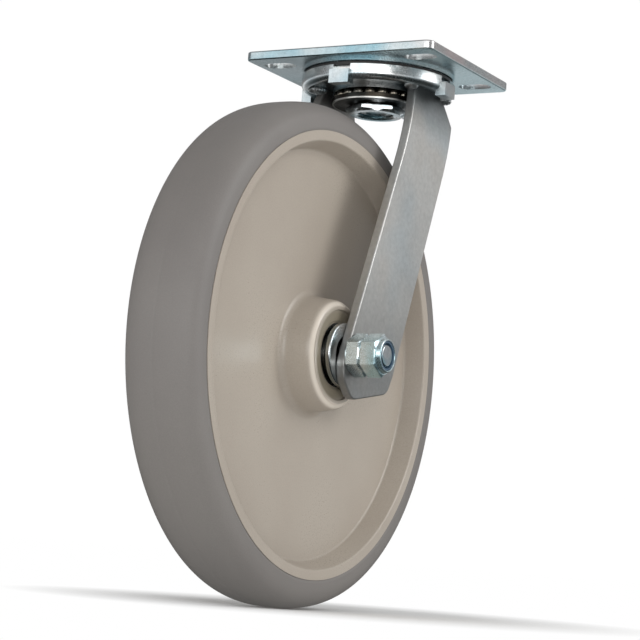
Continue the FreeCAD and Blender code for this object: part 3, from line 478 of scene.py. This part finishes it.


# ---------------------------------------------------------------- fork legs
# Flat bar legs, cropped to shape and bent in at the top, then welded to the yoke base. Painted shade
# darkens them towards the foot and at the bent-in top.
leg_zinc = zinc("leg zinc", linear(192, 192, 189), linear(180, 172, 163), linear(170, 182, 187),
                18.0, 0.55, 0.36, 0.8, metal=0.7)
tree, shader, plated = finish_of(leg_zinc)
leg_height = split(tree, place_in(tree))["Z"]
# Painted shade: darker towards the foot, and darker still at the bent-in top.
painted_foot_shade = ranged(tree, leg_height, -175 * mm, -110 * mm, 0.52, 1.0)
painted_top_shade = ranged(tree, leg_height, -18 * mm, -40 * mm, 0.3, 1.0)
shade = times(tree, painted_foot_shade, painted_top_shade)
wire(tree, mixed(tree, 1.0, plated, shade, "MULTIPLY"), shader.inputs["Base Color"])
paint(leg_zinc, "leg_nut_side", "leg_head_side")


# ---------------------------------------------------------------- wheel core
# Glass filled nylon, moulded in one piece: a rim with a lip on each side, a solid web and a hub boss with
# a flared foot, a dished face and a counterbore for the thrust washer. The boss's edge carries a pale
# painted highlight, and its dish painted shade.
low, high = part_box("wheel_core")
rim_out = (high.z - low.z) / 2
axle_centre = (0, (low.y + high.y) / 2, (low.z + high.z) / 2)
hub_face = high.x
tyre_low, tyre_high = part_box("tyre")
tread_half = tyre_high.x
web_half, lip_wide, wall_slope = 9.2 * mm, 5.2 * mm, 3.6 * mm
lip_in = rim_out - lip_wide
wall_foot = lip_in - wall_slope
foot_radius, boss_radius = 29.6 * mm, 27.0 * mm
bore_radius, bore_floor = 16.6 * mm, hub_face - 1.6 * mm
bearing_bore, dish_floor = 15.95 * mm, hub_face - 1.1 * mm

half_profile = [
    (tread_half, rim_out), (tread_half, lip_in), (web_half, wall_foot), (web_half, foot_radius),
    (hub_face, boss_radius), (hub_face, boss_radius - 2.6 * mm), (dish_floor, boss_radius - 4.6 * mm),
    (dish_floor, bore_radius + 0.8 * mm), (bore_floor, bore_radius), (bore_floor, bearing_bore)]
half_radii = [1.3 * mm, 1.6 * mm, 4.0 * mm, 5.0 * mm, 1.3 * mm, 1.0 * mm, 1.5 * mm, 0.5 * mm, 0.3 * mm]
other_half = [(-x, r) for x, r in reversed(half_profile)]
core_profile = rounded(half_profile + other_half + [half_profile[0]],
                       half_radii + [0, 0] + half_radii[::-1] + [0], 8)
core_plastic = moulded("core plastic", linear(168, 159, 147), linear(162, 152, 140), 14.0, 1400.0,
                       0.34, 0.00003)
tree, shader, moulding = finish_of(core_plastic)
from_axle = vector_math(tree, "SUBTRACT", place_in(tree), axle_centre)
outwards = vector_math(tree, "LENGTH", vector_math(tree, "MULTIPLY", from_axle, (0, 1, 1)), output="Value")
depth = times(tree, split(tree, from_axle)["X"], 0.0, "ABSOLUTE")
end_zone = ranged(tree, depth, hub_face - 2.6 * mm, hub_face - 1.4 * mm)
# Painted highlight on the boss's rounded edge, and painted shade in the dish inside it.
painted_lip_highlight = ranged(tree, outwards, boss_radius - 2.9 * mm, boss_radius - 2.2 * mm)
painted_dish_shade = ranged(tree, outwards, boss_radius - 3.0 * mm, boss_radius - 6.0 * mm)
moulding = mixed(tree, times(tree, painted_lip_highlight, end_zone), moulding, linear(206, 197, 184))
wire(tree, mixed(tree, times(tree, painted_dish_shade, end_zone), moulding, linear(132, 124, 108)),
     shader.inputs["Base Color"])
wheel_core = turned("wheel_core_moulded", core_profile, "x", axle_centre, 256)
finish_piece(wheel_core, "wheel", "core_plastic", core_plastic, "wheel_core")


# ---------------------------------------------------------------- tyre
# Grey thermoplastic rubber moulded over the core: a round tread whose shoulders fall away to
# flat sides, a fine parting line round its crown and a groove where it meets the rim's lip.
tread_radius = (tyre_high.z - tyre_low.z) / 2
shoulder = 114.9 * mm
bulge = 2.77
across = np.sin(np.linspace(0, math.pi / 2, 49)) * tread_half
crown = shoulder + (tread_radius - shoulder) * (1 - (across / tread_half) ** bulge) ** (1 / bulge)
parting = 0.12 * mm * np.exp(-(across / (0.35 * mm)) ** 2)
half_tread = np.stack([across, crown - parting], axis=-1)[::-1]
side = [(tread_half - 0.35 * mm, rim_out), (tread_half - 0.35 * mm, rim_out + 0.25 * mm),
        (tread_half, rim_out + 0.8 * mm), (tread_half, shoulder - 1 * mm)]
mirror = np.array([-1, 1])
tyre_profile = np.concatenate([np.array(side), half_tread, half_tread[::-1][1:] * mirror,
                               np.array(side)[::-1] * mirror, np.array(side)[:1]])
tyre_rubber = moulded("tyre rubber", linear(121, 117, 113), linear(114, 110, 107), 9.0, 1700.0,
                      0.56, 0.00005)
tyre = turned("tyre_moulded", tyre_profile, "x", axle_centre, 320)
finish_piece(tyre, "wheel", "tyre_rubber", tyre_rubber, "tyre")


# ---------------------------------------------------------------- axle bolt and nuts
# A half inch hexagon bolt through the legs, held by a plain nut and a lock nut whose rolled
# collar grips a nylon ring. All bright zinc with a blue passivation.
nut_zinc = zinc("nut zinc", linear(216, 228, 230), linear(200, 204, 202), linear(168, 208, 216),
                55.0, 0.7, 0.27, 0.5, metal=0.92)
flats = 19.05 * mm
corner = flats / math.sqrt(3)
clear = corner + 0.1 * mm
bolt_radius, head_thick = 6.35 * mm, 7.9 * mm
bolt_low, bolt_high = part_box("axle_bolt")
head_under = bolt_low.x + head_thick
bolt = turned("axle_bolt_turned", rounded(
    [(bolt_low.x, 0), (bolt_low.x, flats / 2 - 0.4 * mm), (bolt_low.x + 1.2 * mm, clear),
     (head_under, clear), (head_under, bolt_radius), (bolt_high.x - 1.3 * mm, bolt_radius),
     (bolt_high.x, bolt_radius - 1.4 * mm), (bolt_high.x, 0)],
    [0.4 * mm, 0.3 * mm, 0.15 * mm, 0.3 * mm, 0.3 * mm, 0.4 * mm]),
    "x", axle_centre, nut_columns, flats)
finish_piece(bolt, "fork", "fastener_steel", fastener_zinc, "axle_bolt")

hex_face, hex_chamfer = flats / 2 - 0.3 * mm, 1.0 * mm
jam_low, jam_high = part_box("axle_jam_nut")
jam_nut = turned("axle_jam_nut_turned", rounded(
    [(jam_low.x, bolt_radius), (jam_low.x, hex_face), (jam_low.x + hex_chamfer, clear),
     (jam_high.x - hex_chamfer, clear), (jam_high.x, hex_face), (jam_high.x, bolt_radius),
     (jam_low.x, bolt_radius)],
    [0.3 * mm] * 5), "x", axle_centre, nut_columns, flats)
finish_piece(jam_nut, "fork", "fastener_steel", nut_zinc, "axle_jam_nut")

lock_low, lock_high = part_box("axle_lock_nut")
collar_from = lock_high.x - 2.4 * mm
collar_radius, collar_mouth = 8.7 * mm, 7.3 * mm
ring_room, ring_floor = collar_mouth + 0.2 * mm, lock_high.x - 2.2 * mm
lock_nut = turned("axle_lock_nut_turned", rounded(
    [(lock_low.x, bolt_radius), (lock_low.x, hex_face), (lock_low.x + hex_chamfer, clear),
     (collar_from - 0.6 * mm, clear), (collar_from, flats / 2 - 0.2 * mm),
     (collar_from + 0.1 * mm, collar_radius), (lock_high.x, collar_radius - 0.3 * mm),
     (lock_high.x, collar_mouth), (lock_high.x - 0.9 * mm, ring_room), (ring_floor, ring_room),
     (ring_floor, bolt_radius), (lock_low.x, bolt_radius)],
    [0.3 * mm] * 5 + [0.9 * mm, 0.4 * mm] + [0.2 * mm] * 3), "x", axle_centre, nut_columns, flats)
finish_piece(lock_nut, "fork", "fastener_steel", nut_zinc, "axle_lock_nut")

nylon = moulded("lock ring nylon", linear(60, 84, 104), linear(52, 74, 92), 200.0, 4000.0, 0.4,
                0.00002)
paint(nylon, "lock_nut_insert")

washer_steel = zinc("washer steel", linear(214, 216, 216), linear(190, 182, 172),
                    linear(160, 186, 196), 70.0, 0.4, 0.16, 0.5)
for side_name in ("washer_nut_side", "washer_head_side"):
    low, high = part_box(side_name)
    washer_radius = (high.z - low.z) / 2
    bore = bolt_radius + 0.1 * mm
    washer = turned(side_name + "_turned", rounded(
        [(low.x, bore), (low.x, washer_radius), (high.x, washer_radius), (high.x, bore),
         (low.x, bore)], [0.7 * mm, 0.7 * mm, 0.3 * mm]), "x", axle_centre)
    finish_piece(washer, "fork", "fastener_steel", washer_steel, side_name)


# ---------------------------------------------------------------- hub bearing
# Rollers in a steel cage, between a hardened sleeve that the legs clamp and a bearing cup pressed
# into the hub, so that the wheel turns on the rollers.
cage_steel = zinc("cage steel", linear(176, 172, 164), linear(150, 140, 120), linear(150, 160, 160),
                  120.0, 0.3, 0.3, 0.3)
paint(race_steel, "bearing_sleeve", "hub_rollers", "bearing_cup")
paint(cage_steel, "roller_cage")


# ---------------------------------------------------------------- floor
# A plain pale floor that the wheel stands on. It is matt, and pales to the white of the room past
# the wheel's sweep; polished steel sees it as a dark bench with a bright far end, and dull faces
# see it a little brighter than it is.
ground = tyre_low.z - 0.2 * mm
floor_mesh = bpy.data.meshes.new("floor")
reach = 40.0
floor_mesh.from_pydata([(-reach, -reach, ground), (reach, -reach, ground), (reach, reach, ground),
                        (-reach, reach, ground)], [], [(0, 1, 2, 3)])
floor = bpy.data.objects.new("floor", floor_mesh)
bpy.context.scene.collection.objects.link(floor)
floor_paint, tree, shader = plain_material("floor paint", Roughness=0.7,
                                           Base_Color=(0.88, 0.88, 0.87, 1))
shader.inputs["Specular IOR Level"].default_value = 0.1
away = vector_math(tree, "DISTANCE", place_in(tree), (0, 0, ground), "Value")
rays = node_at(tree, "ShaderNodeLightPath")
bench = mixed(tree, ranged(tree, away, 0.45, 2.4), (0.035, 0.04, 0.04, 1),
              (1.15, 1.2, 1.22, 1))
glow = node_at(tree, "ShaderNodeEmission")
wire(tree, mixed(tree, rays.outputs["Is Glossy Ray"], (1, 1, 1, 1), bench), glow.inputs["Color"])
pale = times(tree, ranged(tree, away, 0.07, 0.18), rays.outputs["Is Camera Ray"])
fade = node_at(tree, "ShaderNodeMixShader")
pale = times(tree, pale, times(tree, rays.outputs["Is Diffuse Ray"], 0.6), "MAXIMUM")
wire(tree, times(tree, pale, rays.outputs["Is Glossy Ray"], "MAXIMUM"), fade.inputs[0])
wire(tree, shader.outputs["BSDF"], fade.inputs[1])
wire(tree, glow.outputs["Emission"], fade.inputs[2])
wire(tree, fade.outputs["Shader"], tree.nodes["Material Output"].inputs["Surface"])
floor_mesh.materials.append(floor_paint)


# ---------------------------------------------------------------- light
# Soft boxes in a pale room: one on the nut side throws the leg's soft shadow on the web, a wide one
# in front lights the tread, one to the left shines in the plate's edge, and small ones near the
# camera and overhead fill in. The walls darken below, so that steel has something dark to reflect.
def soft_box(name, place, target, width, height, power):
    """A white area lamp at a place, turned to face a target. Its power is in watts."""
    lamp = bpy.data.lights.new(name, "AREA")
    lamp.shape = "RECTANGLE"
    lamp.size, lamp.size_y, lamp.energy = width, height, power
    box = bpy.data.objects.new(name, lamp)
    box.location = place
    box.rotation_euler = (Vector(target) - Vector(place)).to_track_quat("-Z", "Y").to_euler()
    bpy.context.scene.collection.objects.link(box)


middle = (0, -0.05, -0.15)
soft_box("nut side box", (1.2, 0.42, 0.42), middle, 0.6, 0.9, 9.0)
soft_box("front box", (0.35, -1.6, -0.1), middle, 1.9, 1.3, 16.0)
soft_box("left box", (-0.9, -1.6, 0.1), middle, 1.2, 1.2, 5.0)
soft_box("near box", (1.0, -1.35, 0.1), middle, 0.5, 0.5, 3.0)
soft_box("top box", (-0.1, 0.3, 1.1), middle, 0.8, 0.8, 0.8)

room = bpy.data.worlds.new("pale room")
bpy.context.scene.world = room
room.use_nodes = True
tree = room.node_tree
background = tree.nodes["Background"]
aim = node_at(tree, "ShaderNodeTexCoord").outputs["Generated"]
parts = split(tree, aim)
walls = node_at(tree, "ShaderNodeValToRGB")
wire(tree, ranged(tree, parts["Z"], -1.0, 1.0), walls.inputs["Fac"])
ramp = walls.color_ramp
ramp.elements[0].position, ramp.elements[0].color = 0.0, (0.30, 0.30, 0.30, 1)
ramp.elements[1].position, ramp.elements[1].color = 1.0, (0.75, 0.75, 0.75, 1)
for position, grey in ((0.46, 0.12), (0.51, 0.62), (0.70, 0.72)):
    ramp.elements.new(position).color = (grey, grey, grey * 1.02, 1)
back = ranged(tree, parts["X"], -0.9, 0.4, 0.7, 0.95)
shaded = mixed(tree, 1.0, walls.outputs["Color"], back, "MULTIPLY")
seen = node_at(tree, "ShaderNodeLightPath").outputs["Is Camera Ray"]
wire(tree, mixed(tree, seen, shaded, (1.62, 1.62, 1.62, 1)), background.inputs["Color"])
background.inputs["Strength"].default_value = 0.62


# ---------------------------------------------------------------- camera
# A long lens near the ground, looking slightly up and across the nut side of the fork. It is
# turned a few degrees about its own line of sight.
turn, tilt, roll = math.radians(29.731), math.radians(6.649), math.radians(4.145)
ahead = Vector((-math.sin(turn) * math.cos(tilt), math.cos(turn) * math.cos(tilt), math.sin(tilt)))
level = Vector((math.cos(turn), math.sin(turn), 0))
upward = level.cross(ahead)
right = level * math.cos(roll) + upward * math.sin(roll)
upward = upward * math.cos(roll) - level * math.sin(roll)
distance = 1.1046
across_view, up_view = 0.029035 * distance, 0.123963 * distance
lens = bpy.data.cameras.new("camera")
lens.sensor_width = 36
lens.lens = 114.378
camera = bpy.data.objects.new("camera", lens)
turned_axes = Matrix((right, upward, -ahead)).transposed()
camera.matrix_world = Matrix.Translation(-ahead * distance - right * across_view
                                         - upward * up_view) @ turned_axes.to_4x4()
bpy.context.scene.collection.objects.link(camera)
bpy.context.scene.camera = camera
bpy.context.scene.view_settings.view_transform = "Standard"
